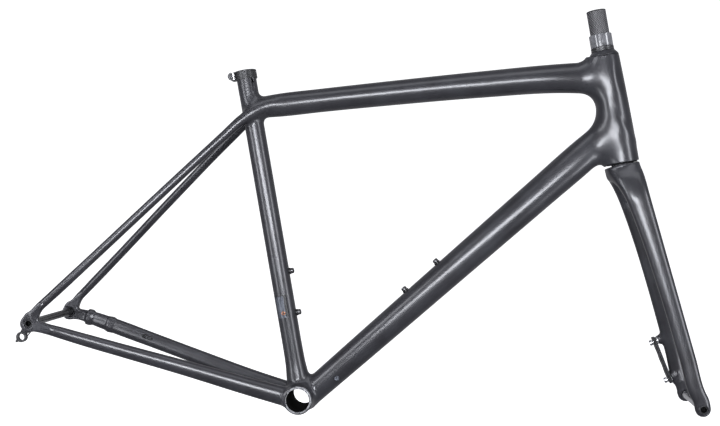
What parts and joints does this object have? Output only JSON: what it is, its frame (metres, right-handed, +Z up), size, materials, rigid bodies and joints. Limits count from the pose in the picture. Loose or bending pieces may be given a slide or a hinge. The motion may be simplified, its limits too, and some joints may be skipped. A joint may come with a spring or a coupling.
{
  "type": "bicycle frame",
  "caption": "Carbon road bicycle frameset for disc brakes, with fork, headset, seat clamp, derailleur hanger, bottle bolts and thru axles.",
  "frame": {"origin": "centre of the bottom bracket shell, on the bicycle's middle plane", "axes": "+X forward, +Y to the rider's left (the brake side), +Z up, with both wheel axles level"},
  "size_m": [1.0201, 0.166, 0.658],
  "materials": {
    "satin_carbon": "satin clear coat over carbon",
    "raw_carbon": "raw woven carbon",
    "gloss_carbon": "gloss clear coat over carbon",
    "black_alloy": "black anodised",
    "silver_alloy": "machined",
    "black_steel": "black oxide",
    "bright_steel": "bright plated",
    "bearing_steel": "ground",
    "copper": "dull copper",
    "black_rubber": "moulded"
  },
  "bodies": {
    "frame": {"head_tube": "satin_carbon", "upper_bearing_outer_race": "bearing_steel", "lower_bearing_outer_race": "bearing_steel", "top_tube": "satin_carbon", "down_tube": "satin_carbon", "seat_tube": "satin_carbon", "bottom_bracket_shell": "satin_carbon", "bottom_bracket_sleeve": "silver_alloy", "chainstay_right": "satin_carbon", "chainstay_left": "satin_carbon", "seatstay_right": "satin_carbon", "seatstay_left": "satin_carbon", "dropout_right": "satin_carbon", "dropout_left": "satin_carbon", "derailleur_hanger": "black_alloy", "hanger_screw": "black_steel", "front_derailleur_bracket": "black_alloy", "front_derailleur_screw": "copper", "seat_clamp": "black_alloy", "seat_clamp_bolt": "black_steel", "seat_clamp_nut": "silver_alloy", "cable_port_plug": "black_rubber", "hose_port_lip": "black_rubber", "rear_brake_block_front": "black_alloy", "rear_brake_block_rear": "black_alloy", "down_tube_lower_boss": "black_alloy", "down_tube_lower_bolt": "black_steel", "down_tube_upper_boss": "black_alloy", "down_tube_upper_bolt": "black_steel", "seat_tube_lower_boss": "black_alloy", "seat_tube_lower_bolt": "black_steel", "seat_tube_upper_boss": "black_alloy", "seat_tube_upper_bolt": "black_steel"},
    "fork": {"fork_crown": "satin_carbon", "fork_blade_right": "satin_carbon", "fork_blade_left": "satin_carbon", "fork_dropout_right": "satin_carbon", "fork_dropout_left": "satin_carbon", "front_brake_pad_upper": "silver_alloy", "front_brake_pad_lower": "silver_alloy", "brake_adapter": "black_alloy", "adapter_bolt_upper": "bright_steel", "adapter_bolt_lower": "bright_steel", "steerer_tube": "raw_carbon", "crown_race": "black_alloy", "compression_ring": "silver_alloy", "headset_cap": "satin_carbon", "thin_spacer": "black_alloy", "steerer_collar": "gloss_carbon", "upper_bearing_inner_race": "bearing_steel", "upper_bearing_ball_ring": "bearing_steel", "lower_bearing_inner_race": "bearing_steel", "lower_bearing_ball_ring": "bearing_steel"},
    "rear_axle": {"rear_thru_axle": "black_steel"},
    "front_axle": {"front_thru_axle": "bright_steel"}
  },
  "joints": [
    {"name": "steering", "type": "hinge", "parent": "frame", "child": "fork", "pos_m": [0.395, 0, 0.565], "axis": [-0.284, 0, 0.9588], "continuous": true},
    {"name": "rear_axle_draw", "type": "slide", "parent": "frame", "child": "rear_axle", "axis": [0, 1, 0], "range_m": [0, 0.165]},
    {"name": "front_axle_draw", "type": "slide", "parent": "fork", "child": "front_axle", "axis": [0, 1, 0], "range_m": [0, 0.13]}
  ]
}
